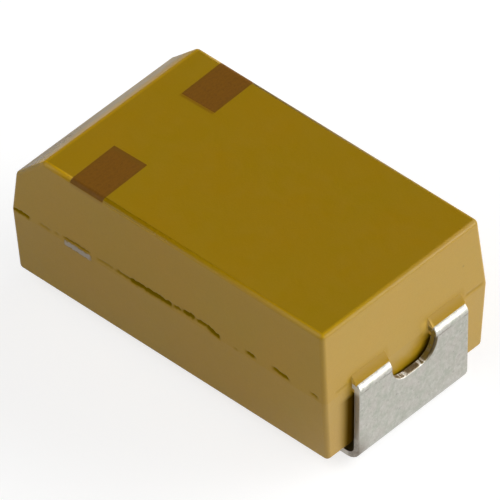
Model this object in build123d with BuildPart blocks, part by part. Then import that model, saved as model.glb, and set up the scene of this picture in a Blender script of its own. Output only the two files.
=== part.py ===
from build123d import *
import os

# Moulded tantalum chip capacitor in the 6.0 x 3.2 x 2.5 mm case, all sizes in millimetres.
# +X runs along the case to the cathode end, +Y across it, +Z up from the board.
# The origin is on the seating plane, under the middle of the case.

# Moulded case
case_length = 5.72             # over the parting line
case_width = 3.20              # over the parting line
case_top = 2.50                # top face above the seating plane
parting_height = 1.365         # where the two halves of the mould met
underside_height = 0.26        # underside above the seating plane, over the feet
upper_end_draft = 4.8          # degrees
upper_side_draft = 3.3
lower_end_draft = 1.9
lower_side_draft = 3.8
corner_radius = 0.07           # upright corners
edge_radius = 0.075            # top edges and bevel
underside_edge_radius = 0.065
bevel_drop = 0.49              # polarity bevel at the anode end, down the end face
bevel_run = 0.455              # and along the top face
glue_pad_width = 2.40          # raised pad on the underside, for the dot of glue
glue_pad_standoff = 0.10
glue_pad_corner_radius = 0.25
foot_to_glue_pad = 0.27

# Lead frame, the tinned sheet that both terminals are cut from
strip_thickness = 0.10
strip_width = 2.14
case_to_terminal = 0.04        # gap between the end of the case and the folded strip
terminal_lean = 0.03           # how far the upright face leans in between its top fold and its foot
foot_length = 1.30
top_fold_radius = 0.025        # inside the fold, as are the next two
foot_fold_radius = 0.135
step_fold_radius = 0.07
rolled_edge_radius = 0.02      # the punch rounds the edges of the outer face
notch_width = 0.85             # slot across the top fold
notch_depth = 0.445            # down from the top of the strip
notch_corner_radius = 0.30
notch_inset = 0.30             # how far the slot reaches into the case
ledge_reach = 0.075            # ledge of epoxy over each strip, out from the end of the case
ledge_rise = 0.10              # above the strip, on the end face
ledge_drop = 0.065             # and below it

# Cathode strip inside the case
end_to_step = 0.61             # from the end of the case to the strip's upright step
tray_width = 1.70
tray_length = 2.60
epoxy_under_tray = 0.40

# Anode strip inside the case
end_to_neck = 0.50             # from the end of the case
neck_width = 1.00
end_to_bar = 0.98              # cross bar that carries the wire, cut flush with the case's sides
bar_length = 0.50

# Capacitor element
bar_to_pellet = 0.27           # stretch of bare wire, which the washer partly fills
coats_to_step = 0.16
epoxy_beside_coats = 0.36
epoxy_over_coats = 0.22
pellet_edge_radius = 0.12
wire_diameter = 0.30
wire_depth = 1.90              # length pressed into the pellet
wire_overhang = 0.10           # free end past the middle of the cross bar
weld_flat = 0.03               # depth of the flat that is welded to the bar
washer_diameter = 0.90
washer_thickness = 0.12
coat_thickness = 0.03          # of each of the three coats
coat_step = 0.14               # each coat stops this much short of the one below it
adhesive_thickness = 0.04
adhesive_margin = 0.10

# Marked fields on top, beside the bevel
mark_depth = 0.05
end_to_mark = 1.025            # from the end of the case, along its middle
mark_length = 0.59
near_mark_width = 0.95         # from the side of the case inwards
far_mark_width = 0.90
mark_turn = 1.4                # degrees: the pair was marked slightly askew

# Places that follow from these sizes
case_end = case_length / 2
case_side = case_width / 2
parting = Plane.XY.offset(parting_height)
strip_top = parting_height + strip_thickness / 2
terminal_middle = case_end + case_to_terminal + strip_thickness / 2
foot_tip = terminal_middle + strip_thickness / 2 - foot_length
step_middle = case_end - end_to_step
tray_start = step_middle - tray_length
tray_top = underside_height + epoxy_under_tray + strip_thickness
bar_middle = -case_end + end_to_bar + bar_length / 2
coats_thickness = 3 * coat_thickness
pellet_start = bar_middle + bar_length / 2 + bar_to_pellet
pellet_end = step_middle - strip_thickness / 2 - coats_to_step - coats_thickness
pellet_bottom = tray_top + adhesive_thickness + coats_thickness
pellet_top = case_top - epoxy_over_coats - coats_thickness
pellet_width = case_width - 2 * (epoxy_beside_coats + coats_thickness)
pellet_middle = (pellet_bottom + pellet_top) / 2
wire_height = strip_top + wire_diameter / 2 - weld_flat


def folded_strip(end, inner_points, inner_fold_radii):
    """A strip folded down the end of the case and under it, where end is 1 for +X and -1 for -X."""
    outer_points = [
        (end * terminal_middle, parting_height),
        (end * (terminal_middle - terminal_lean), strip_thickness / 2),
        (end * foot_tip, strip_thickness / 2),
    ]
    inside_radii = [*inner_fold_radii, top_fold_radius, foot_fold_radius]
    with BuildPart() as strip:
        with BuildSketch(Plane.XZ):
            with BuildLine():
                FilletPolyline(
                    *inner_points,
                    *outer_points,
                    radius=[radius + strip_thickness / 2 for radius in inside_radii],
                )
            trace(line_width=strip_thickness)
        extrude(amount=strip_width / 2, both=True)

        # Slot across the top fold: down the upright face, and into the flat as far as the inset
        with BuildSketch(Plane.YZ.offset(end * case_end)) as upright_slot:
            with Locations((0, strip_top)):
                Rectangle(notch_width, 2 * notch_depth)
            fillet(upright_slot.vertices().group_by(Axis.Y)[0], notch_corner_radius)
        extrude(amount=end * terminal_middle, mode=Mode.SUBTRACT)
        with BuildSketch(parting):
            with Locations((end * (case_end - notch_inset / 2), 0)):
                Rectangle(notch_inset, notch_width)
        extrude(amount=strip_thickness, both=True, mode=Mode.SUBTRACT)

        # Rolled edges: both sides of the strip and the edge of the slot, not the lines of the folds
        outer_face = faces().sort_by(Axis((0, 0, 0), (end, 0, 0)))[-1]
        fold_to_fold = outer_face.edges().group_by(Axis.Z)[1:-1]
        fillet([edge for group in fold_to_fold for edge in group], rolled_edge_radius)
    return strip.part


with BuildPart() as cathode_terminal:
    tray_middle = tray_top - strip_thickness / 2
    add(
        folded_strip(
            1,
            [(tray_start, tray_middle), (step_middle, tray_middle), (step_middle, parting_height)],
            [step_fold_radius, step_fold_radius],
        )
    )
    # The tray and its step are narrower than the strip
    with BuildSketch(Plane.XY.offset(tray_top - 2 * strip_thickness)):
        with Locations((step_middle + step_fold_radius + strip_thickness / 2, 0)):
            Rectangle(case_length, strip_width, align=(Align.MAX, Align.CENTER))
            Rectangle(
                case_length, tray_width, align=(Align.MAX, Align.CENTER), mode=Mode.SUBTRACT
            )
    extrude(amount=case_top, mode=Mode.SUBTRACT)

with BuildPart() as anode_terminal:
    add(folded_strip(-1, [(bar_middle, parting_height)], []))
    # Neck between the strip and its cross bar
    with BuildSketch(parting):
        with Locations((-case_end + end_to_neck, 0)):
            Rectangle(case_length, strip_width, align=(Align.MIN, Align.CENTER))
            Rectangle(
                case_length, neck_width, align=(Align.MIN, Align.CENTER), mode=Mode.SUBTRACT
            )
    extrude(amount=strip_thickness, both=True, mode=Mode.SUBTRACT)
    with BuildSketch(parting):
        with Locations((bar_middle, 0)):
            Rectangle(bar_length, case_width)
    extrude(amount=strip_thickness / 2, both=True)

with BuildPart() as riser_wire:
    wire_start = bar_middle - wire_overhang
    with BuildSketch(Plane.YZ.offset(wire_start)):
        with Locations((0, wire_height)):
            Circle(wire_diameter / 2)
    extrude(amount=pellet_start + wire_depth - wire_start)
    # The cross bar leaves its flat on the wire
    add(anode_terminal.part, mode=Mode.SUBTRACT)

with BuildPart() as insulating_washer:
    with BuildSketch(Plane.YZ.offset(pellet_start)):
        with Locations((0, wire_height)):
            Circle(washer_diameter / 2)
            Circle(wire_diameter / 2, mode=Mode.SUBTRACT)
    extrude(amount=-washer_thickness)

with BuildPart() as tantalum_pellet:
    with BuildSketch(Plane.YZ.offset(pellet_start)):
        with Locations((0, pellet_middle)):
            RectangleRounded(pellet_width, pellet_top - pellet_bottom, pellet_edge_radius)
    extrude(amount=pellet_end - pellet_start)
    add(riser_wire.part, mode=Mode.SUBTRACT)


def dipped_coat(coats_below):
    """A coat over the pellet and the coats below it, open at the face that the wire leaves."""
    coat_start = pellet_start + coats_below * coat_step
    with BuildPart() as coat:
        for coats, mode in ((coats_below + 1, Mode.ADD), (coats_below, Mode.SUBTRACT)):
            grown = coats * coat_thickness
            with BuildSketch(Plane.YZ.offset(coat_start)):
                with Locations((0, pellet_middle)):
                    RectangleRounded(
                        pellet_width + 2 * grown,
                        pellet_top - pellet_bottom + 2 * grown,
                        pellet_edge_radius + grown,
                    )
            extrude(amount=pellet_end + grown - coat_start, mode=mode)
    return coat


manganese_dioxide_layer = dipped_coat(0)
graphite_layer = dipped_coat(1)
silver_layer = dipped_coat(2)

with BuildPart() as silver_adhesive:
    with BuildSketch(Plane.XY.offset(tray_top)):
        with Locations((tray_start + adhesive_margin, 0)):
            Rectangle(
                pellet_end - tray_start - 2 * adhesive_margin,
                tray_width - 2 * adhesive_margin,
                align=(Align.MIN, Align.CENTER),
            )
    extrude(amount=adhesive_thickness)

# The strips leave the case through ledges of epoxy, one on each side of their slots
with BuildPart() as exit_ledges:
    with BuildSketch(Plane.XZ.offset(-notch_width / 2)):
        ledge_bottom = strip_top - strip_thickness - ledge_drop
        with BuildLine():
            Polyline(
                (case_end - ledge_reach, strip_top + 2 * ledge_rise),
                (case_end + ledge_reach, strip_top),
                (case_end + ledge_reach, parting_height),
                (case_end + case_to_terminal, ledge_bottom),
                (case_end - ledge_reach, ledge_bottom),
                close=True,
            )
        make_face()
    extrude(amount=-(strip_width - notch_width) / 2)
    mirror(about=Plane.XZ)
    mirror(about=Plane.YZ)

with BuildPart() as case_block:
    # Upper half, drafted from the parting line to the top, with the bevel at the anode end
    with BuildSketch(parting):
        Rectangle(case_length, case_width)
    extrude(amount=case_top - parting_height)
    draft(faces().filter_by(Axis.X), parting, upper_end_draft)
    draft(faces().filter_by(Axis.Y), parting, upper_side_draft)
    top_face = faces().sort_by(Axis.Z)[-1]
    anode_top_edge = top_face.edges().sort_by(Axis.X)[0]
    chamfer(anode_top_edge, length=bevel_run, length2=bevel_drop, reference=top_face)

    # Lower half, drafted the other way
    with BuildSketch(parting):
        Rectangle(case_length, case_width)
    extrude(amount=underside_height - parting_height)
    draft(faces().filter_by(Axis.X), -parting, lower_end_draft)
    draft(faces().filter_by(Axis.Y), -parting, lower_side_draft)

    # Every edge is rounded but the sharp one where the mould parted: first the upright corners, then
    # the edges of the top and the bevel, and those of the underside
    upright_slope = 0.9
    fillet(edges().filter_by(lambda edge: abs((edge % 0.5).Z) > upright_slope), corner_radius)
    fillet(faces().sort_by(Axis.Z)[-2:].edges(), edge_radius)
    fillet(faces().sort_by(Axis.Z)[0].edges(), underside_edge_radius)

    # Pad for the dot of glue, between the two feet
    with BuildSketch(Plane.XY.offset(underside_height)):
        RectangleRounded(
            2 * (foot_tip - foot_to_glue_pad), glue_pad_width, glue_pad_corner_radius
        )
    extrude(amount=glue_pad_standoff - underside_height)
    add(exit_ledges.part)

with BuildPart() as polarity_marks:
    with BuildSketch(Plane.XY.offset(case_top - mark_depth)):
        with Locations(Location((-case_end + end_to_mark, 0), mark_turn)):
            with Locations((0, -case_side)):
                Rectangle(mark_length, near_mark_width, align=(Align.MIN, Align.MIN))
            with Locations((0, case_side)):
                Rectangle(mark_length, far_mark_width, align=(Align.MIN, Align.MAX))
    extrude(amount=2 * mark_depth)
    add(case_block.part, mode=Mode.INTERSECT)

# The epoxy fills every space round the pieces that it holds
held_pieces = {
    "cathode_terminal": cathode_terminal,
    "anode_terminal": anode_terminal,
    "riser_wire": riser_wire,
    "insulating_washer": insulating_washer,
    "tantalum_pellet": tantalum_pellet,
    "manganese_dioxide_layer": manganese_dioxide_layer,
    "graphite_layer": graphite_layer,
    "silver_layer": silver_layer,
    "silver_adhesive": silver_adhesive,
    "polarity_marks": polarity_marks,
}

with BuildPart() as moulded_case:
    add(case_block.part)
    for piece in held_pieces.values():
        add(piece.part, mode=Mode.SUBTRACT)

os.makedirs("parts", exist_ok=True)
for name, piece in {"moulded_case": moulded_case, **held_pieces}.items():
    piece.part.label = name
    export_step(piece.part, f"parts/{name}.step")
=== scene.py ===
import math
import random
from collections import namedtuple

import bmesh
import bpy
from mathutils import Matrix, Vector, noise


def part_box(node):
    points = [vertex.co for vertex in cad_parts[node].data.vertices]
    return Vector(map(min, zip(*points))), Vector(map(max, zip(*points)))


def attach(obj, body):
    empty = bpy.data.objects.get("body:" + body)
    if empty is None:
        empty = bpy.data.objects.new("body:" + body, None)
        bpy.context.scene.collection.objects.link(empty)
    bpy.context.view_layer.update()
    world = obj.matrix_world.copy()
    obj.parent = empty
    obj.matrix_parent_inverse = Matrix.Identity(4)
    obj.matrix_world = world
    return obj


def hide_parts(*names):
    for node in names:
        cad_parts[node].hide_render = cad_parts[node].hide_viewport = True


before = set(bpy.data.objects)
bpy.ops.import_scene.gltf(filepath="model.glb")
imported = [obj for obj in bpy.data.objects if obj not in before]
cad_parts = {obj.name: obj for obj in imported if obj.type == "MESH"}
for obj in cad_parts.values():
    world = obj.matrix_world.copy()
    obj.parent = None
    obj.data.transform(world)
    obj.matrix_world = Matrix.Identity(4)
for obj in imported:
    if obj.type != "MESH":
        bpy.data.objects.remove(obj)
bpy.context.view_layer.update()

# Looks of the moulded tantalum chip capacitor. Names that end in _mm are in millimetres, and those in
# per_mm are counts to the millimetre; Blender's own unit is the metre. Two numbers under one name are
# a range. +X runs to the cathode end, and -Y is the long side that the camera sees.
MM = 0.001
PER_MM = 1000.0

# Camera, fitted to the silhouette and the edges of the part in the photograph
camera_azimuth = math.radians(43.6502)
camera_elevation = math.radians(43.2201)
camera_roll = math.radians(-1.1564)
camera_distance_mm = 201.149
camera_right_mm = -0.0027      # how far the lens axis passes from the origin
camera_up_mm = 0.9295
sensor_mm = 36.0
lens_mm = 1080.0
nearest_seen_mm = 10.0
farthest_seen_mm = 2000.0

# Floor
floor_size_mm = 1200.0
floor_colour = (0.94, 0.93, 0.90)
seen_floor_colour = (0.45, 0.45, 0.45)   # diffuse share of the white that the camera and gloss see
seen_floor_glow = 0.72                   # and the share that no shadow takes away
# Painted shade in the floor's reflection: gloss sees the floor darker in front of the part.
front_floor_glow = 0.20                  # that share as gloss sees it, in front of the part
floor_behind = (0.45, 0.89, 0.0)         # way from the front of the floor to its back
floor_front_mm, floor_back_mm = -1.4, 0.8

# Soft studio lights in the surroundings: each is brightest in its direction, and fades out at an
# angle from it whose cosine is fade_cosine
Glow = namedtuple("Glow", "direction fade_cosine radiance")
GLOWS = [
    Glow((0.816, 0.571, 0.087), 0.85, 2.30),
    Glow((0.416, 0.893, 0.174), 0.70, 4.60),
    Glow((0.985, 0.0, 0.174), 0.70, 1.35),
    Glow((-0.492, -0.587, 0.643), 0.80, 1.25),
    Glow((0.0, -0.707, 0.707), 0.75, 0.75),
    Glow((-0.086, 0.981, 0.174), 0.75, 0.55),
]

# The ranges that most values of a noise lie in
noise_body = 0.30, 0.70
noise_spread = 0.25, 0.75


class Nodes:
    """A node tree under construction."""

    def __init__(self, tree):
        self.tree = tree

    def node(self, kind, **settings):
        made = self.tree.nodes.new(kind)
        for setting, value in settings.items():
            setattr(made, setting, value)
        return made

    def feed(self, socket, value):
        """Links a socket to another one, or sets it to a plain value."""
        if isinstance(value, bpy.types.NodeSocket):
            self.tree.links.new(value, socket)
        elif socket.type == "RGBA":
            socket.default_value = (*value, 1.0)
        else:
            socket.default_value = value

    def math(self, operation, first, second=0.0):
        made = self.node("ShaderNodeMath", operation=operation)
        self.feed(made.inputs[0], first)
        self.feed(made.inputs[1], second)
        return made.outputs[0]

    def product(self, *factors):
        total = factors[0]
        for factor in factors[1:]:
            total = self.math("MULTIPLY", total, factor)
        return total

    def greatest(self, *values):
        most = values[0]
        for value in values[1:]:
            most = self.math("MAXIMUM", most, value)
        return most

    def rest(self, share):
        """What a share leaves of 1."""
        return self.math("SUBTRACT", 1.0, share)

    def unsigned(self, value):
        """A value without its sign."""
        return self.math("ABSOLUTE", value)

    def levels(self, value, low, high, to_low=0.0, to_high=1.0, smooth=False):
        """Maps low..high to to_low..to_high, and holds the ends."""
        made = self.node("ShaderNodeMapRange")
        if smooth:
            made.interpolation_type = "SMOOTHSTEP"
        for socket, number in (
            ("Value", value),
            ("From Min", low),
            ("From Max", high),
            ("To Min", to_low),
            ("To Max", to_high),
        ):
            self.feed(made.inputs[socket], number)
        return made.outputs["Result"]

    def fading(self, value, start, end):
        """1 up to start, and falling to 0 at end."""
        return self.levels(value, start, end, 1.0, 0.0)

    def inside(self, value, low, high, softness):
        """1 where a value lies between low and high, and 0 outside, with soft ends."""
        over = self.levels(value, low - softness, low + softness, smooth=True)
        under = self.levels(value, high - softness, high + softness, 1.0, 0.0, smooth=True)
        return self.product(over, under)

    def parts(self, vector):
        """The X, Y and Z of a vector."""
        made = self.node("ShaderNodeSeparateXYZ")
        self.feed(made.inputs[0], vector)
        return made.outputs["X"], made.outputs["Y"], made.outputs["Z"]

    def dot(self, vector, direction):
        made = self.node("ShaderNodeVectorMath", operation="DOT_PRODUCT")
        self.feed(made.inputs[0], vector)
        self.feed(made.inputs[1], direction)
        return made.outputs["Value"]


class Finish(Nodes):
    """A procedural material under construction, with its place on the part in millimetres."""

    def __init__(self, name, metallic=0.0, specular=0.5):
        self.material = bpy.data.materials.new(name)
        self.material.use_nodes = True
        super().__init__(self.material.node_tree)
        self.shader = self.tree.nodes["Principled BSDF"]
        self.shader.inputs["Metallic"].default_value = metallic
        self.shader.inputs["Specular IOR Level"].default_value = specular
        scaled = self.node("ShaderNodeVectorMath", operation="SCALE")
        self.feed(scaled.inputs["Vector"], self.node("ShaderNodeTexCoord").outputs["Object"])
        self.feed(scaled.inputs["Scale"], PER_MM)
        self.place = scaled.outputs["Vector"]
        self.along, self.across, self.height = self.parts(self.place)

    def facing(self, kind="Normal"):
        """Which way the surface faces: smoothed, or with True Normal each face's own way."""
        return self.parts(self.node("ShaderNodeNewGeometry").outputs[kind])

    def noise(self, per_mm, detail=2.0, roughness=0.5, place=None):
        """Noise from 0 to 1 with about per_mm cells to the millimetre."""
        made = self.node("ShaderNodeTexNoise")
        self.feed(made.inputs["Vector"], self.place if place is None else place)
        self.feed(made.inputs["Scale"], per_mm)
        self.feed(made.inputs["Detail"], detail)
        self.feed(made.inputs["Roughness"], roughness)
        return made.outputs[0]

    def stretched(self, x, y, z):
        """The place with each axis scaled, for noise that is drawn out along one of them."""
        made = self.node("ShaderNodeVectorMath", operation="MULTIPLY")
        self.feed(made.inputs[0], self.place)
        self.feed(made.inputs[1], (x, y, z))
        return made.outputs[0]

    def turned(self, degrees):
        """The place, in axes turned about Z."""
        made = self.node("ShaderNodeVectorRotate", rotation_type="Z_AXIS")
        self.feed(made.inputs["Vector"], self.place)
        self.feed(made.inputs["Angle"], -math.radians(degrees))
        return made.outputs[0]

    def mix(self, share, first, second, blend="MIX"):
        """Two colours mixed by share, from 0 for the first to 1 for the second."""
        made = self.node("ShaderNodeMix", data_type="RGBA", blend_type=blend)
        colours = [socket for socket in made.inputs if socket.type == "RGBA"]
        self.feed(made.inputs["Factor"], share)
        self.feed(colours[0], first)
        self.feed(colours[1], second)
        return next(socket for socket in made.outputs if socket.type == "RGBA")

    def shaded(self, colour, shade):
        """A colour multiplied by a number."""
        return self.mix(1.0, colour, shade, blend="MULTIPLY")

    def paler(self, share, colour, gain):
        """A colour multiplied by gain where share is 1."""
        return self.shaded(colour, self.levels(share, 0.0, 1.0, 1.0, gain))

    def bump(self, height, depth_mm, below=None):
        """A bump of the given depth, on top of another one if below is given."""
        made = self.node("ShaderNodeBump")
        self.feed(made.inputs["Strength"], 1.0)
        self.feed(made.inputs["Distance"], depth_mm * MM)
        self.feed(made.inputs["Height"], height)
        if below is not None:
            self.feed(made.inputs["Normal"], below)
        return made.outputs["Normal"]

    def finish(self, colour, roughness, normal):
        self.feed(self.shader.inputs["Base Color"], colour)
        self.feed(self.shader.inputs["Roughness"], roughness)
        self.feed(self.shader.inputs["Normal"], normal)
        return self.material


# The two marked fields on top, in axes turned with them: along the case, then across it
mark_turn_degrees = 1.4
mark_start_mm, mark_end_mm = -1.836, -1.246
near_mark_edge_mm, far_mark_edge_mm = -0.65, 0.70

# Middle of the rounding at the far bottom corner of the slot in the terminal's fold
slot_corner_across_mm, slot_corner_height_mm = 0.125, 1.27

# How far from the middle of the case the fields on its end walls set in
end_wall_mm = 2.80, 2.82


def from_slot_corner(finish):
    """How far a place lies from the middle of that rounding, past it and under it."""
    past = finish.math("SUBTRACT", finish.across, slot_corner_across_mm)
    past = finish.math("MAXIMUM", past, 0.0)
    under = finish.math("SUBTRACT", finish.height, slot_corner_height_mm)
    under = finish.math("MINIMUM", under, 0.0)
    square = finish.math("ADD", finish.product(past, past), finish.product(under, under))
    return finish.math("SQRT", square)


def mark_halo(epoxy, tint):
    """Brown that spreads a little past the marked fields."""
    halo_brown = (0.300, 0.150, 0.0012)
    halo_mm = 0.022
    top_edge_mm = 2.38, 2.46
    along, across, _ = epoxy.parts(epoxy.turned(mark_turn_degrees))
    between_marks = epoxy.inside(across, near_mark_edge_mm, far_mark_edge_mm, halo_mm)
    halo = epoxy.product(
        epoxy.inside(along, mark_start_mm, mark_end_mm, halo_mm),
        epoxy.rest(between_marks),
        epoxy.levels(epoxy.height, *top_edge_mm),
    )
    return epoxy.mix(halo, tint, halo_brown)


def dull_top_edges_painted_light(epoxy, tint):
    """Edges of the top: worn duller, and paler along the near side, where the paler tint is painted
    light that lifts the shade on the rounding.

    Gives the tint and the share of the gloss that is left.
    """
    top_edge_mm = 2.40, 2.43
    turning_up = 0.10, 0.50
    near_turning_up = 0.30, 0.75
    first_turn, first_share = (-0.15, 0.0), 0.90
    later_turn, later_share = (-0.50, -0.15), 0.10
    to_end = 0.1, 0.5
    to_far_side = 0.05, 0.30
    near_edge_painted_light_gain = 1.48
    worn_gloss = 0.40
    far_gloss = 0.60
    facing_along, facing_across, facing_up = epoxy.facing()
    high_up = epoxy.levels(epoxy.height, *top_edge_mm)
    turning = epoxy.product(epoxy.levels(facing_up, *turning_up), high_up)
    near_edge = epoxy.math(
        "ADD",
        epoxy.levels(facing_across, *first_turn, first_share, 0.0),
        epoxy.levels(facing_across, *later_turn, later_share, 0.0),
    )
    near_edge = epoxy.product(near_edge, epoxy.levels(facing_up, *near_turning_up), high_up)
    # Painted light: the near edge's rounding is made paler, lifting the shade that falls on it.
    tint = epoxy.paler(near_edge, tint, near_edge_painted_light_gain)
    end_edge = epoxy.product(turning, epoxy.levels(facing_along, *to_end))
    far_edge = epoxy.product(turning, epoxy.levels(facing_across, *to_far_side))
    worn = epoxy.greatest(near_edge, end_edge, far_edge)
    gloss = epoxy.product(
        epoxy.levels(worn, 0.0, 1.0, 1.0, worn_gloss),
        epoxy.levels(far_edge, 0.0, 1.0, 1.0, far_gloss),
    )
    return tint, gloss


def rough_bevel_painted_light(epoxy, tint):
    """The bevel: rougher towards the far side, and worn dull along its top edge, which painted light
    also makes paler.

    Gives the tint and what the wear adds to the roughness.
    """
    bevel_facing = -0.60, -0.45
    bevel_foot_mm = 1.93, 1.98
    near_to_far_mm = -1.4, 1.2
    roughness_added = -0.10, 0.08
    edge_start_mm = -2.62, -2.36
    edge_end_mm = -2.32, -2.25
    edge_foot_mm = 2.0, 2.1
    off_sides = 0.3, 0.5
    edge_near_to_far_mm = -1.2, 0.8
    edge_roughness_added = 0.06, 0.16
    bevel_edge_painted_light_gain = 1.75
    facing_along, facing_across, _ = epoxy.facing()
    face_roughness = epoxy.product(
        epoxy.levels(epoxy.across, *near_to_far_mm, *roughness_added),
        epoxy.fading(facing_along, *bevel_facing),
        epoxy.levels(epoxy.height, *bevel_foot_mm),
    )
    on_edge = epoxy.product(
        epoxy.levels(epoxy.along, *edge_start_mm, smooth=True),
        epoxy.fading(epoxy.along, *edge_end_mm),
        epoxy.levels(epoxy.height, *edge_foot_mm),
        epoxy.fading(epoxy.unsigned(facing_across), *off_sides),
    )
    edge_roughness = epoxy.product(
        epoxy.levels(epoxy.across, *edge_near_to_far_mm, *edge_roughness_added),
        on_edge,
    )
    # Painted light: the bevel's top edge is made paler, lifting the shade along it.
    tint = epoxy.paler(on_edge, tint, bevel_edge_painted_light_gain)
    return tint, epoxy.math("ADD", face_roughness, edge_roughness)


def dark_speck(epoxy, tint, speck_colour):
    """A dark speck in the cathode end."""
    speck_place_mm = (2.812, 1.17, 1.93)
    speck_radius_mm = 0.008, 0.022
    speck_share = 0.8
    distance = epoxy.node("ShaderNodeVectorMath", operation="DISTANCE")
    epoxy.feed(distance.inputs[0], epoxy.place)
    epoxy.feed(distance.inputs[1], speck_place_mm)
    speck = epoxy.levels(distance.outputs["Value"], *speck_radius_mm, speck_share, 0.0)
    return epoxy.mix(speck, tint, speck_colour)


def painted_shade_over_strips(epoxy, tint):
    """Painted shade: darker yellow ochre on the resin ledges over both strips and on the wall above
    them, where they leave the case, with painted light on the ledges' ends.

    Gives the tint and how dull the surface is made where the shade is painted.
    """
    ledge_painted_shade_ochre = (0.350, 0.202, 0.0018)
    ledge_end_painted_light = (0.600, 0.370, 0.0200)
    strip_mm = 0.36, 1.14
    strip_softness_mm = 0.03
    painted_shade_foot_mm = 1.36, 1.38
    wall_fade_mm = 1.50, 1.64
    wall_share = 0.45
    ledge_facing_up = 0.20, 0.35
    ledge_top_mm = 1.62, 1.66
    ledge_end_facing = 0.5, 0.7
    ledge_reach_mm = 2.850, 2.925
    dullness = 0.75, 0.90
    outward = epoxy.unsigned(epoxy.along)
    _, facing_across, facing_up = epoxy.facing()
    at_strip = epoxy.product(
        epoxy.inside(epoxy.unsigned(epoxy.across), *strip_mm, strip_softness_mm),
        epoxy.levels(outward, *end_wall_mm),
    )
    on_wall = epoxy.levels(epoxy.height, *wall_fade_mm, wall_share, 0.0, smooth=True)
    on_ledge = epoxy.product(
        epoxy.levels(facing_up, *ledge_facing_up),
        epoxy.fading(epoxy.height, *ledge_top_mm),
    )
    # Painted shade over the ledges and the wall above the strips
    resin_and_painted_light = epoxy.product(
        at_strip,
        epoxy.levels(epoxy.height, *painted_shade_foot_mm),
        epoxy.greatest(on_wall, on_ledge),
    )
    tint = epoxy.mix(resin_and_painted_light, tint, ledge_painted_shade_ochre)
    # Painted light on the ledges' ends, which face sideways
    ledge_end = epoxy.levels(epoxy.unsigned(facing_across), *ledge_end_facing)
    tint = epoxy.mix(epoxy.product(at_strip, ledge_end), tint, ledge_end_painted_light)
    return tint, epoxy.product(resin_and_painted_light, epoxy.levels(outward, *ledge_reach_mm, *dullness))


def painted_shadow_by_terminal(epoxy, tint):
    """Painted shadow beside the terminals and under their slots, and painted light in a corner of the
    cathode's slot.

    Gives the tint and the share of painted shadow.
    """
    painted_shadow_brown = (0.180, 0.104, 0.0008)
    painted_shadow_core_brown = (0.060, 0.025, 0.0005)
    slot_painted_light = (0.600, 0.390, 0.070)
    painted_shadow_top_mm = 1.16, 1.24
    near_corner_mm = -1.36, -1.12
    behind_near_edge_mm = -1.02, -0.98
    core_mm = -1.24, -1.12
    core_share = 0.8
    far_corner_mm = 1.08, 1.20
    far_share = 0.5
    behind_far_edge_mm = 0.98, 1.02
    rim_mm = 0.19, 0.29
    rim_start_mm = -0.20, 0.25
    rim_end_mm = 0.46, 0.50
    rim_top_mm = 1.17, 1.27
    painted_light_start_mm = 0.28, 0.38
    painted_light_end_mm = 0.43, 0.47
    painted_light_heights_mm = 1.29, 1.50
    painted_light_softness_mm = 0.05
    # Painted shadow beside both edges of the strips and under the slot's rim
    near = epoxy.product(
        epoxy.levels(epoxy.across, *near_corner_mm, smooth=True),
        epoxy.fading(epoxy.across, *behind_near_edge_mm),
    )
    far = epoxy.product(
        epoxy.levels(epoxy.across, *far_corner_mm, far_share, 0.0, smooth=True),
        epoxy.levels(epoxy.across, *behind_far_edge_mm),
    )
    shadow_under_rim = epoxy.product(
        epoxy.levels(from_slot_corner(epoxy), *rim_mm, smooth=True),
        epoxy.levels(epoxy.across, *rim_start_mm),
        epoxy.fading(epoxy.unsigned(epoxy.across), *rim_end_mm),
        epoxy.fading(epoxy.height, *rim_top_mm),
    )
    painted_shadow = epoxy.product(
        epoxy.greatest(near, far, shadow_under_rim),
        epoxy.fading(epoxy.height, *painted_shadow_top_mm),
        epoxy.levels(epoxy.unsigned(epoxy.along), *end_wall_mm),
    )
    # Painted light in a corner of the cathode's slot, where shade falls
    resin_and_painted_light = epoxy.product(
        epoxy.levels(epoxy.across, *painted_light_start_mm),
        epoxy.fading(epoxy.across, *painted_light_end_mm),
        epoxy.inside(epoxy.height, *painted_light_heights_mm, painted_light_softness_mm),
        epoxy.levels(epoxy.along, *end_wall_mm),
    )
    core = epoxy.levels(epoxy.across, *core_mm, 0.0, core_share, smooth=True)
    # Painted light, then painted shadow with its darker core next to the near strip
    tint = epoxy.mix(resin_and_painted_light, tint, slot_painted_light)
    tint = epoxy.mix(painted_shadow, tint, painted_shadow_brown)
    tint = epoxy.mix(epoxy.product(core, painted_shadow, near), tint, painted_shadow_core_brown)
    return tint, painted_shadow


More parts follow.
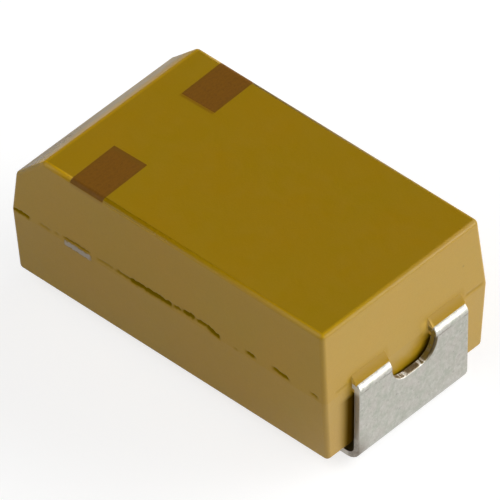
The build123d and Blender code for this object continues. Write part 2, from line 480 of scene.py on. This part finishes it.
def moulded_epoxy():
    """Ochre epoxy with the fine matt grain of its filler; the parting groove is dull, with painted
    shade in it.
    """
    ochre = (0.390, 0.225, 0.0012)
    olive = (0.376, 0.227, 0.0012)
    amber = (0.404, 0.222, 0.0012)
    groove_shade_and_speck_ochre = (0.240, 0.142, 0.0006)
    groove_painted_shade_core = (0.165, 0.100, 0.0004)
    cloud_spread = 0.35, 0.65
    patch_share = 0.25, 0.75
    grain_shade = 0.95, 1.05
    core_depth = 0.55
    full_dull_depth = 0.8
    specular = 0.80
    roughness_spread = 0.29, 0.36
    grain_mm, patch_mm = 0.0010, 0.0018
    epoxy = Finish("moulded_epoxy", specular=specular)
    cloud = epoxy.noise(per_mm=0.9, detail=3.0)
    patch = epoxy.noise(per_mm=5.0, detail=4.0, roughness=0.6)
    grain = epoxy.noise(per_mm=38.0, detail=3.0, roughness=0.7)
    tint = epoxy.mix(epoxy.levels(cloud, *cloud_spread), olive, amber)
    tint = epoxy.mix(epoxy.levels(patch, *noise_body, *patch_share), tint, ochre)
    tint = epoxy.shaded(tint, epoxy.levels(grain, *noise_spread, *grain_shade))

    tint = mark_halo(epoxy, tint)
    tint, worn_gloss = dull_top_edges_painted_light(epoxy, tint)
    tint, worn_roughness = rough_bevel_painted_light(epoxy, tint)
    tint = dark_speck(epoxy, tint, groove_shade_and_speck_ochre)
    tint, painted_shade_dull = painted_shade_over_strips(epoxy, tint)
    tint, painted_shadow = painted_shadow_by_terminal(epoxy, tint)

    # Painted shade in the parting groove, darkest where it is deepest
    groove = epoxy.node("ShaderNodeAttribute", attribute_name="groove").outputs["Fac"]
    colour = epoxy.mix(groove, tint, groove_shade_and_speck_ochre)
    colour = epoxy.mix(epoxy.levels(groove, core_depth, 1.0), colour, groove_painted_shade_core)
    dull = epoxy.greatest(epoxy.levels(groove, 0.0, full_dull_depth), painted_shade_dull, painted_shadow)
    gloss = epoxy.product(epoxy.levels(dull, 0.0, 1.0, specular, 0.0), worn_gloss)
    epoxy.feed(epoxy.shader.inputs["Specular IOR Level"], gloss)
    roughness = epoxy.levels(patch, *noise_body, *roughness_spread)
    roughness = epoxy.math("ADD", roughness, worn_roughness)
    normal = epoxy.bump(patch, patch_mm, epoxy.bump(grain, grain_mm))
    return epoxy.finish(colour, roughness, normal)


def marked_brown():
    """The marked fields: brown, drawn in fine wavering lines, darker at their rims."""
    brown = (0.222, 0.088, 0.0014)
    dark_brown = (0.178, 0.068, 0.0008)
    rim_brown = (0.195, 0.084, 0.0008)
    line_spacing_mm = 0.060
    waver_radians = 22.0
    line_share = 0.1, 1.0
    rim_mm = 0.03
    rim_share = 0.8
    top_edge_mm = 2.46, 2.495
    roughness_spread = 0.50, 0.65
    grain_mm = 0.0012
    marking = Finish("marked_brown", specular=0.25)
    along, across, _ = marking.parts(marking.turned(mark_turn_degrees))
    waver = marking.noise(per_mm=11.0, detail=3.0, roughness=0.6)
    blots = marking.noise(per_mm=16.0, detail=4.0, roughness=0.65)
    grain = marking.noise(per_mm=38.0, detail=3.0, roughness=0.7)
    turns = marking.product(along, 2 * math.pi / line_spacing_mm)
    turns = marking.math("ADD", turns, marking.product(waver, waver_radians))
    lines = marking.levels(marking.math("SINE", turns), -1.0, 1.0)
    share = marking.product(lines, marking.levels(blots, *noise_body, *line_share))
    colour = marking.mix(share, brown, dark_brown)

    near_end = marking.fading(across, near_mark_edge_mm - 2 * rim_mm, near_mark_edge_mm)
    far_end = marking.levels(across, far_mark_edge_mm, far_mark_edge_mm + 2 * rim_mm)
    clear_of_rims = marking.product(
        marking.inside(along, mark_start_mm + rim_mm, mark_end_mm - rim_mm, rim_mm),
        marking.greatest(near_end, far_end),
        marking.levels(marking.height, *top_edge_mm),
    )
    rim = marking.levels(clear_of_rims, 0.0, 1.0, rim_share, 0.0)
    colour = marking.mix(rim, colour, rim_brown)
    roughness = marking.levels(blots, *noise_body, *roughness_spread)
    return marking.finish(colour, roughness, marking.bump(grain, grain_mm))


# How far from the middle of a strip the fields in the slot of its fold end
slot_side_mm = 0.50, 0.60


def painted_shade_on_tin(tin, colour, mottle, cloud):
    """A broken line of painted shade under the top fold, and painted shade darkening the foot."""
    crease_painted_shade = (0.230, 0.215, 0.190)
    crease_mm = 1.258, 1.280
    crease_softness_mm = 0.010
    crease_waver_mm = 0.012
    outer_face_mm = 2.96, 2.97
    crease_gaps = 0.40, 0.54
    crease_shade_share = 0.75
    foot_mm = 0.05, 0.13
    foot_painted_shade = 0.66
    waver = tin.levels(mottle, *noise_body, -crease_waver_mm, crease_waver_mm)
    crease_shade = tin.product(
        tin.inside(tin.math("ADD", tin.height, waver), *crease_mm, crease_softness_mm),
        tin.levels(tin.unsigned(tin.along), *outer_face_mm),
        tin.levels(cloud, *crease_gaps),
        crease_shade_share,
    )
    colour = tin.mix(crease_shade, colour, crease_painted_shade)
    return tin.shaded(colour, tin.levels(tin.height, *foot_mm, foot_painted_shade, 1.0))


def cut_faces(tin, spots):
    """Where the strips were cut: the shares of cut side, of bare metal, and of cut slot."""
    to_side = 0.6, 0.8
    slot_floor_up = 0.55, 0.75
    slot_floor_mm = 0.40, 0.43
    slot_floor_outward_mm = 2.86, 2.88
    fold_foot_mm = 1.22, 1.30
    sheared_in_fold = 0.1
    burrs = 0.60, 0.68
    sheared_at_burrs = 0.3
    aside = tin.unsigned(tin.across)
    _, facing_across, facing_up = tin.facing("True Normal")
    cut_side = tin.levels(tin.unsigned(facing_across), *to_side)
    slot_floor = tin.product(
        tin.levels(facing_up, *slot_floor_up),
        tin.fading(aside, *slot_floor_mm),
        tin.levels(tin.unsigned(tin.along), *slot_floor_outward_mm),
    )
    cut = tin.greatest(cut_side, slot_floor)
    in_slot = tin.product(cut, tin.fading(aside, *slot_side_mm))
    below_fold = tin.levels(tin.height, *fold_foot_mm, 1.0, sheared_in_fold)
    sheared = tin.product(
        cut,
        tin.greatest(below_fold, in_slot),
        tin.levels(spots, *burrs, 1.0, sheared_at_burrs),
    )
    return cut_side, sheared, in_slot


def grimy_foot(tin, colour, mottle):
    """Grime at the near corner of the cathode's foot."""
    grime_brown = (0.200, 0.165, 0.130)
    grime_top_mm = 0.22, 0.52
    grime_edge_mm = -1.03, -0.84
    cathode_end_mm = 2.75, 2.80
    grime_spread = 0.35, 0.60
    grime_share = 0.35, 0.80
    grime = tin.product(
        tin.fading(tin.height, *grime_top_mm),
        tin.fading(tin.across, *grime_edge_mm),
        tin.levels(mottle, *grime_spread, *grime_share),
        tin.levels(tin.along, *cathode_end_mm),
    )
    return tin.mix(grime, colour, grime_brown)


def smeared_bar_end(tin, colour, bar_end, mottle, cloud):
    """Resin smeared over the rims of the cross bar's cut end.

    Gives the colour and the share of resin.
    """
    resin_and_painted_light = (0.300, 0.190, 0.020)
    bar_heights_mm = 1.322, 1.402
    bar_rim_mm = 0.012
    bar_ragged_mm = 0.03
    bar_along_mm = 1.40, 1.87
    bar_end_rim_mm = 0.03
    bar_end_ragged_mm = 0.04
    ragged = tin.levels(mottle, *noise_body, -bar_ragged_mm, bar_ragged_mm)
    ragged_ends = tin.levels(cloud, *noise_body, -bar_end_ragged_mm, bar_end_ragged_mm)
    along = tin.math("ADD", tin.unsigned(tin.along), ragged_ends)
    clean_metal = tin.product(
        tin.inside(tin.math("ADD", tin.height, ragged), *bar_heights_mm, bar_rim_mm),
        tin.inside(along, *bar_along_mm, bar_end_rim_mm),
    )
    smeared = tin.product(bar_end, tin.rest(clean_metal))
    return tin.mix(smeared, colour, resin_and_painted_light), smeared


def slot_edges(tin, colour, in_slot):
    """A dark rim by the cathode slot's far corner, and painted glints on burrs in both slots.

    Gives the colour and the share of the glints.
    """
    rim_olive = (0.120, 0.090, 0.040)
    painted_glint_white = (0.900, 0.870, 0.800)
    rim_mm = 0.285, 0.335
    rim_softness_mm = 0.012
    rim_start_mm = 0.15, 0.35
    rim_top_mm = 1.25, 1.30
    outer_face_mm = 2.95, 2.97
    burrs = 0.52, 0.58
    slot_middle_mm = -0.01
    burrs_aside_mm = 0.10, 0.23
    burr_softness_mm = 0.02
    burr_stretch = (0.3, 1.0, 1.0)
    rim = tin.product(
        tin.inside(from_slot_corner(tin), *rim_mm, rim_softness_mm),
        tin.levels(tin.across, *rim_start_mm),
        tin.fading(tin.height, *rim_top_mm),
        tin.levels(tin.along, *outer_face_mm),
    )
    colour = tin.mix(rim, colour, rim_olive)
    burr_spots = tin.noise(per_mm=13.0, detail=2.0, place=tin.stretched(*burr_stretch))
    from_middle = tin.unsigned(tin.math("SUBTRACT", tin.across, slot_middle_mm))
    # Painted glints: pale non-metal spots on the burrs in the slots
    glint = tin.product(
        in_slot,
        tin.levels(burr_spots, *burrs),
        tin.inside(from_middle, *burrs_aside_mm, burr_softness_mm),
    )
    return tin.mix(glint, colour, painted_glint_white), glint


def rolled_edges(tin, colour, cut_side):
    """The strips' sides at the top fold, rolled smooth, with a pale painted sheen.

    Gives the colour and the share of those sides.
    """
    rolled_side_painted_sheen = (0.800, 0.780, 0.720)
    fold_foot_mm = 1.20, 1.28
    strip_edge_from_mm = 0.98, 1.00
    strip_edge_to_mm = 1.15, 1.20
    aside = tin.unsigned(tin.across)
    # Painted sheen: pale non-metal on the strips' sides at the fold
    rolled = tin.product(
        cut_side,
        tin.levels(tin.height, *fold_foot_mm),
        tin.levels(aside, *strip_edge_from_mm),
        tin.fading(aside, *strip_edge_to_mm),
    )
    return tin.mix(rolled, colour, rolled_side_painted_sheen), rolled


def tin_plate():
    """Matt tin on the lead frame: mottled, with painted shade under the fold and at the foot, painted
    glints and sheen at its cut edges, and bare where it was sheared.
    """
    warm = (0.465, 0.444, 0.400)
    green = (0.400, 0.412, 0.350)
    pale = (0.560, 0.548, 0.505)
    dull = (0.310, 0.290, 0.262)
    sheared_metal = (0.600, 0.565, 0.510)
    slot_metal = (0.300, 0.245, 0.165)
    slot_far_side_metal = (0.300, 0.210, 0.030)
    bar_metal = (0.560, 0.490, 0.415)
    cloud_spread = 0.38, 0.62
    pale_spots = 0.42, 0.70
    dull_spots, dull_share = (0.58, 0.74), 0.8
    bar_end_mm = 1.57, 1.585
    slot_far_side_mm = 0.05, 0.30
    roughness_spread = 0.32, 0.46
    sheared_roughness = 0.15
    drawn_stretch = (1.0, 4.0, 0.6)
    grain_mm, mottle_mm, drawn_mm, burr_mm = 0.0015, 0.0050, 0.0012, 0.030
    tin = Finish("matt_tin", metallic=1.0)
    mottle = tin.noise(per_mm=15.0, detail=5.0, roughness=0.7)
    cloud = tin.noise(per_mm=5.0, detail=3.0)
    spots = tin.noise(per_mm=24.0, detail=3.0, roughness=0.6)
    drawn = tin.noise(per_mm=9.0, detail=3.0, place=tin.stretched(*drawn_stretch))
    grain = tin.noise(per_mm=55.0, detail=3.0, roughness=0.7)
    colour = tin.mix(tin.levels(cloud, *cloud_spread), green, warm)
    colour = tin.mix(tin.levels(mottle, *pale_spots), colour, pale)
    colour = tin.mix(tin.levels(spots, *dull_spots, 0.0, dull_share), colour, dull)
    # Painted shade under the fold and at the foot
    colour = painted_shade_on_tin(tin, colour, mottle, cloud)

    # Sheared metal, without its plating, and the cross bar's end, flush with the side of the case
    cut_side, sheared, in_slot = cut_faces(tin, spots)
    aside = tin.unsigned(tin.across)
    bar_end = tin.levels(aside, *bar_end_mm)
    slot_far_side = tin.levels(tin.across, *slot_far_side_mm)
    slot_tint = tin.mix(slot_far_side, slot_metal, slot_far_side_metal)
    bare_metal = tin.mix(tin.levels(aside, *slot_side_mm), slot_tint, sheared_metal)
    colour = tin.mix(tin.math("SUBTRACT", sheared, bar_end), colour, bare_metal)
    colour = tin.mix(bar_end, colour, bar_metal)

    colour = grimy_foot(tin, colour, mottle)
    colour, smeared = smeared_bar_end(tin, colour, bar_end, mottle, cloud)
    colour, glint = slot_edges(tin, colour, in_slot)
    colour, rolled = rolled_edges(tin, colour, cut_side)
    not_metal = tin.greatest(smeared, glint, rolled, tin.product(slot_far_side, in_slot))
    tin.feed(tin.shader.inputs["Metallic"], tin.rest(not_metal))

    roughness = tin.levels(mottle, *noise_body, *roughness_spread)
    roughness = tin.math("ADD", roughness, tin.product(sheared, sheared_roughness))
    normal = tin.bump(mottle, mottle_mm, tin.bump(grain, grain_mm))
    normal = tin.bump(drawn, drawn_mm, normal)
    normal = tin.bump(tin.product(spots, in_slot), burr_mm, normal)
    return tin.finish(colour, roughness, normal)


# Finishes of the pieces sealed inside, with how fine their grain is, and how deep
Plain = namedtuple("Plain", "node material colour per_mm depth_mm roughness metallic")
INNER_FINISHES = [
    Plain("tantalum_pellet", "sintered_metal", (0.20, 0.20, 0.22), 30, 0.004, 0.60, 1.0),
    Plain("riser_wire", "drawn_wire", (0.45, 0.45, 0.48), 20, 0.001, 0.35, 1.0),
    Plain("insulating_washer", "white_plastic", (0.82, 0.82, 0.79), 12, 0.001, 0.45, 0.0),
    Plain("manganese_dioxide_layer", "black_oxide", (0.05, 0.045, 0.045), 40, 0.004, 0.80, 0.0),
    Plain("graphite_layer", "dark_carbon", (0.08, 0.08, 0.08), 30, 0.002, 0.50, 0.0),
    Plain("silver_layer", "silver_flakes", (0.70, 0.70, 0.69), 25, 0.002, 0.50, 1.0),
    Plain("silver_adhesive", "silver_glue", (0.60, 0.59, 0.57), 18, 0.003, 0.55, 1.0),
]


def grainy(plain):
    """A rough finish for a piece sealed inside: uneven in colour, gloss and height."""
    cloud_shade = 0.85
    grain_shade = 0.75, 1.25
    roughness_swing = 0.08
    finish = Finish(plain.material, metallic=plain.metallic)
    grain = finish.noise(plain.per_mm, detail=4.0, roughness=0.65)
    cloud = finish.noise(per_mm=2.0, detail=2.0)
    darker = tuple(channel * cloud_shade for channel in plain.colour)
    tint = finish.mix(finish.levels(cloud, *noise_body), plain.colour, darker)
    tint = finish.shaded(tint, finish.levels(grain, *noise_spread, *grain_shade))
    low, high = plain.roughness - roughness_swing, plain.roughness + roughness_swing
    roughness = finish.levels(grain, *noise_spread, low, high)
    return finish.finish(tint, roughness, finish.bump(grain, plain.depth_mm))


# The parting groove, on the wall that it runs along: from start to end along the wall, with its
# height there, half its width and its depth, all in millimetres
Crack = namedtuple("Crack", "start end start_height end_height half_width depth")
NEAR_CRACKS = [
    Crack(-2.84, -2.48, 1.392, 1.400, 0.048, 0.012),
    Crack(-2.36, -2.10, 1.415, 1.422, 0.034, 0.006),
    Crack(-2.08, -1.95, 1.430, 1.434, 0.034, 0.006),
    Crack(-1.92, -1.38, 1.444, 1.448, 0.034, 0.010),
    Crack(-1.30, -0.94, 1.438, 1.442, 0.036, 0.007),
    Crack(-0.96, -0.56, 1.436, 1.436, 0.042, 0.010),
    Crack(-0.72, 0.12, 1.434, 1.440, 0.056, 0.017),
    Crack(0.08, 0.30, 1.448, 1.458, 0.044, 0.011),
    Crack(0.25, 0.54, 1.460, 1.468, 0.056, 0.014),
    Crack(0.50, 0.76, 1.458, 1.460, 0.046, 0.012),
    Crack(0.68, 0.99, 1.462, 1.388, 0.060, 0.018),
    Crack(1.20, 1.31, 1.392, 1.382, 0.036, 0.007),
    Crack(1.40, 1.63, 1.446, 1.442, 0.048, 0.012),
    Crack(1.88, 2.24, 1.462, 1.420, 0.046, 0.012),
    Crack(2.57, 2.76, 1.450, 1.422, 0.038, 0.010),
]
CATHODE_END_CRACKS = [
    Crack(-1.42, -1.12, 1.450, 1.446, 0.030, 0.004),
    Crack(1.12, 1.52, 1.424, 1.420, 0.034, 0.005),
]
crack_fade_mm = 0.07           # how far a crack fades in from each end
crack_roundness = 1.5
crack_ragged = 0.55            # share by which its width varies
crack_ragged_per_mm = 14
crack_waver_mm = 0.012         # how far its middle wanders
crack_waver_per_mm = 22
crack_waver_row = 5.0          # row of the noise that the wander is read from
# Depth at which the groove's painted shade is full, and how fast it gathers
full_dark_depth_mm = 0.014
dark_gain = 1.3
far_side_seed, anode_near_seed, anode_far_seed = 11, 21, 22
clear_of_strip_mm = 0.03       # between the groove and the strip in the hidden end

# How the case's walls are cut up to take the groove
groove_bottom_mm, groove_top_mm = 1.31, 1.55
groove_rows = 24
groove_spacing_mm = 0.02
wall_lean_mm = 0.12            # more than a drafted wall leans in from the case's box
weld_mm = 0.0004
cut_tolerance_mm = 0.00001
flat_within = math.radians(0.1)
smooth_below = math.radians(30)


def random_cracks(seed, start, end):
    """Stretches of the parting groove on a wall that the photograph doesn't show."""
    first_gap_mm = 0.05, 0.30
    gap_mm = 0.03, 0.35
    length_mm = 0.08, 0.60
    height_mm = 1.405, 1.445
    slant_mm = -0.02, 0.02
    half_width_mm = 0.032, 0.056
    depth_to_half_width = 0.28
    no_start_mm = 0.1
    draw = random.Random(seed)
    cracks = []
    position = start + draw.uniform(*first_gap_mm)
    while position < end - no_start_mm:
        length = min(draw.uniform(*length_mm), end - position)
        height = draw.uniform(*height_mm)
        slant = draw.uniform(*slant_mm)
        half_width = draw.uniform(*half_width_mm)
        depth = half_width * depth_to_half_width
        cracks.append(
            Crack(position, position + length, height, height + slant, half_width, depth)
        )
        position += length + draw.uniform(*gap_mm)
    return cracks


def crack_depth(cracks, along, height):
    """Depth of the groove at one place on a wall, and the share of painted shade there."""
    place = Vector((along, height, 0))
    ragged = 1 + crack_ragged * noise.noise(place * crack_ragged_per_mm)
    wander = Vector((along * crack_waver_per_mm, crack_waver_row, 0))
    waver = crack_waver_mm * noise.noise(wander)
    depth = dark = 0.0
    for crack in cracks:
        share = (along - crack.start) / (crack.end - crack.start)
        middle = crack.start_height + (crack.end_height - crack.start_height) * share + waver
        off_line = abs(height - middle) / (crack.half_width * ragged)
        from_ends = min(along - crack.start, crack.end - along)
        taper = max(0.0, min(1.0, from_ends / crack_fade_mm))
        profile = max(0.0, 1 - off_line ** 2) ** crack_roundness * taper
        depth = max(depth, crack.depth * profile)
        strength = min(1.0, crack.depth / full_dark_depth_mm)
        dark = max(dark, min(1.0, dark_gain * profile) * strength)
    return depth, dark


def cut_across(shape, faces, axis, spacing):
    """Cuts a row of long faces into short ones along an axis, 0 for X and 1 for Y."""
    direction = Vector((0, 0, 0))
    direction[axis] = 1
    reach = [vert.co[axis] for face in faces for vert in face.verts]
    position = min(reach) + spacing
    while position < max(reach) - spacing / 2:
        geometry = set(faces)
        for face in faces:
            geometry.update(face.edges, face.verts)
        cut = bmesh.ops.bisect_plane(
            shape,
            geom=list(geometry),
            dist=cut_tolerance_mm,
            plane_co=direction * position,
            plane_no=direction,
        )
        faces = [
            piece
            for piece in cut["geom"]
            if isinstance(piece, bmesh.types.BMFace)
            and piece.calc_center_median()[axis] > position
        ]
        position += spacing


def cut_up_walls(shape, low, high):
    """Cuts the four outer walls into small faces, in the band of the groove."""
    wall_facing = 0.98
    row_mm = (groove_top_mm - groove_bottom_mm) / groove_rows
    for row in range(groove_rows + 1):
        bmesh.ops.bisect_plane(
            shape,
            geom=shape.verts[:] + shape.edges[:] + shape.faces[:],
            dist=cut_tolerance_mm,
            plane_co=(0, 0, groove_bottom_mm + row * row_mm),
            plane_no=(0, 0, 1),
        )

    def in_band(face):
        return all(groove_bottom_mm - weld_mm < v.co.z < groove_top_mm + weld_mm for v in face.verts)

    for axis, across in ((0, 1), (1, 0)):
        for outside in (low[across], high[across]):
            wall = [
                face
                for face in shape.faces
                if abs(face.normal[across]) > wall_facing
                and abs(face.calc_center_median()[across] - outside) < wall_lean_mm
                and in_band(face)
            ]
            cut_across(shape, wall, axis, groove_spacing_mm)


def press_groove(shape, low, high):
    """Presses the groove into the walls, and notes how much painted shade it takes at each point."""
    steepest_up = 0.5
    wall_facing = 0.7
    strip_edge_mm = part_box("cathode_terminal")[1].y * PER_MM + clear_of_strip_mm
    far_cracks = random_cracks(far_side_seed, low.x, high.x)
    anode_end_cracks = random_cracks(anode_near_seed, low.y, -strip_edge_mm)
    anode_end_cracks += random_cracks(anode_far_seed, strip_edge_mm, high.y)
    shape.normal_update()
    groove = shape.verts.layers.float.new("groove")
    moves = []
    for vert in shape.verts:
        place, normal = vert.co, vert.normal
        if not groove_bottom_mm < place.z < groove_top_mm or abs(normal.z) > steepest_up:
            continue
        if abs(place.y - low.y) < wall_lean_mm and normal.y < -wall_facing:
            depth, dark = crack_depth(NEAR_CRACKS, place.x, place.z)
        elif abs(place.y - high.y) < wall_lean_mm and normal.y > wall_facing:
            depth, dark = crack_depth(far_cracks, place.x, place.z)
        elif (
            min(abs(place.x - low.x), abs(place.x - high.x)) < wall_lean_mm
            and abs(normal.x) > wall_facing
        ):
            end_cracks = CATHODE_END_CRACKS if place.x > 0 else anode_end_cracks
            depth, dark = crack_depth(end_cracks, place.y, place.z)
        else:
            continue
        moves.append((vert, normal * -depth, dark))
    for vert, step, dark in moves:
        vert.co += step
        vert[groove] = dark


def moulded_case():
    """The case of the frame, with the groove where the mould parted in its outer walls."""
    shape = bmesh.new()
    shape.from_mesh(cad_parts["moulded_case"].data)
    bmesh.ops.scale(shape, vec=(PER_MM,) * 3, verts=shape.verts)
    bmesh.ops.remove_doubles(shape, verts=shape.verts, dist=weld_mm)
    bmesh.ops.dissolve_limit(shape, angle_limit=flat_within, verts=shape.verts, edges=shape.edges)
    low, high = (corner * PER_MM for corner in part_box("moulded_case"))
    cut_up_walls(shape, low, high)
    press_groove(shape, low, high)
    bmesh.ops.scale(shape, vec=(MM,) * 3, verts=shape.verts)

    mesh = bpy.data.meshes.new("moulded_case_body")
    shape.to_mesh(mesh)
    shape.free()
    mesh.polygons.foreach_set("use_smooth", [True] * len(mesh.polygons))
    mesh.set_sharp_from_angle(angle=smooth_below)
    mesh.materials.append(moulded_epoxy())
    piece = bpy.data.objects.new("moulded_case_body", mesh)
    bpy.context.scene.collection.objects.link(piece)
    flat_faces = piece.modifiers.new("flat_faces", "WEIGHTED_NORMAL")
    flat_faces.keep_sharp = True
    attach(piece, "root")
    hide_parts("moulded_case")


def dress(node, material):
    """Gives a CAD node its finish."""
    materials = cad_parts[node].data.materials
    materials.clear()
    materials.append(material)


def dress_nodes():
    tin = tin_plate()
    dress("cathode_terminal", tin)
    dress("anode_terminal", tin)
    dress("polarity_marks", marked_brown())
    for plain in INNER_FINISHES:
        dress(plain.node, grainy(plain))


def pale_floor():
    """White to the camera, and to gloss behind the part, with a soft shadow; to gloss it darkens
    towards the front, as painted shade in its reflection; plainly pale to all other light.
    """
    material = bpy.data.materials.new("pale_floor")
    material.use_nodes = True
    material.node_tree.nodes.clear()
    nodes = Nodes(material.node_tree)

    def diffuse(colour):
        made = nodes.node("ShaderNodeBsdfDiffuse")
        nodes.feed(made.inputs["Color"], colour)
        return made.outputs[0]

    rays = nodes.node("ShaderNodeLightPath").outputs
    place = nodes.node("ShaderNodeTexCoord").outputs["Object"]
    # Painted shade in the floor's reflection: gloss sees the floor darker towards the front
    to_gloss = nodes.levels(
        nodes.dot(place, floor_behind),
        floor_front_mm * MM,
        floor_back_mm * MM,
        front_floor_glow,
        seen_floor_glow,
        smooth=True,
    )
    to_camera = nodes.product(rays["Is Camera Ray"], seen_floor_glow)
    glow = nodes.node("ShaderNodeEmission")
    nodes.feed(glow.inputs["Strength"], nodes.greatest(to_camera, to_gloss))
    seen = nodes.node("ShaderNodeAddShader")
    nodes.feed(seen.inputs[0], diffuse(seen_floor_colour))
    nodes.feed(seen.inputs[1], glow.outputs[0])
    choice = nodes.node("ShaderNodeMixShader")
    is_seen = nodes.greatest(
        rays["Is Camera Ray"], rays["Is Glossy Ray"], rays["Is Transmission Ray"]
    )
    nodes.feed(choice.inputs[0], is_seen)
    nodes.feed(choice.inputs[1], diffuse(floor_colour))
    nodes.feed(choice.inputs[2], seen.outputs[0])
    output = nodes.node("ShaderNodeOutputMaterial")
    nodes.feed(output.inputs["Surface"], choice.outputs[0])
    return material


def studio_floor():
    half = floor_size_mm * MM / 2
    mesh = bpy.data.meshes.new("floor")
    corners = [(-half, -half, 0), (half, -half, 0), (half, half, 0), (-half, half, 0)]
    mesh.from_pydata(corners, [], [(0, 1, 2, 3)])
    mesh.materials.append(pale_floor())
    floor = bpy.data.objects.new("floor", mesh)
    bpy.context.scene.collection.objects.link(floor)


def studio_world():
    """Pale soft lights round the part, in dark surroundings."""
    world = bpy.data.worlds.new("studio")
    bpy.context.scene.world = world
    world.use_nodes = True
    nodes = Nodes(world.node_tree)
    direction = nodes.node("ShaderNodeTexCoord").outputs["Generated"]
    total = 0.0
    for glow in GLOWS:
        facing = nodes.dot(direction, Vector(glow.direction).normalized())
        strength = nodes.levels(facing, glow.fade_cosine, 1.0, 0.0, glow.radiance, smooth=True)
        total = nodes.math("ADD", strength, total)
    background = world.node_tree.nodes["Background"]
    nodes.feed(background.inputs["Color"], (1, 1, 1))
    nodes.feed(background.inputs["Strength"], total)


def photo_camera():
    back = Vector(
        (
            math.sin(camera_azimuth) * math.cos(camera_elevation),
            -math.cos(camera_azimuth) * math.cos(camera_elevation),
            math.sin(camera_elevation),
        )
    )
    level_right = Vector((0, 0, 1)).cross(back).normalized()
    level_up = back.cross(level_right)
    right = math.cos(camera_roll) * level_right + math.sin(camera_roll) * level_up
    up = math.cos(camera_roll) * level_up - math.sin(camera_roll) * level_right
    lens = bpy.data.cameras.new("photo_camera")
    lens.sensor_width = sensor_mm
    lens.lens = lens_mm
    lens.clip_start = nearest_seen_mm * MM
    lens.clip_end = farthest_seen_mm * MM
    camera = bpy.data.objects.new("photo_camera", lens)
    camera.location = (
        right * camera_right_mm + up * camera_up_mm + back * camera_distance_mm
    ) * MM
    camera.rotation_euler = Matrix((right, up, back)).transposed().to_euler()
    bpy.context.scene.collection.objects.link(camera)
    bpy.context.scene.camera = camera


moulded_case()
dress_nodes()
studio_floor()
studio_world()
photo_camera()
bpy.context.scene.view_settings.view_transform = "Standard"
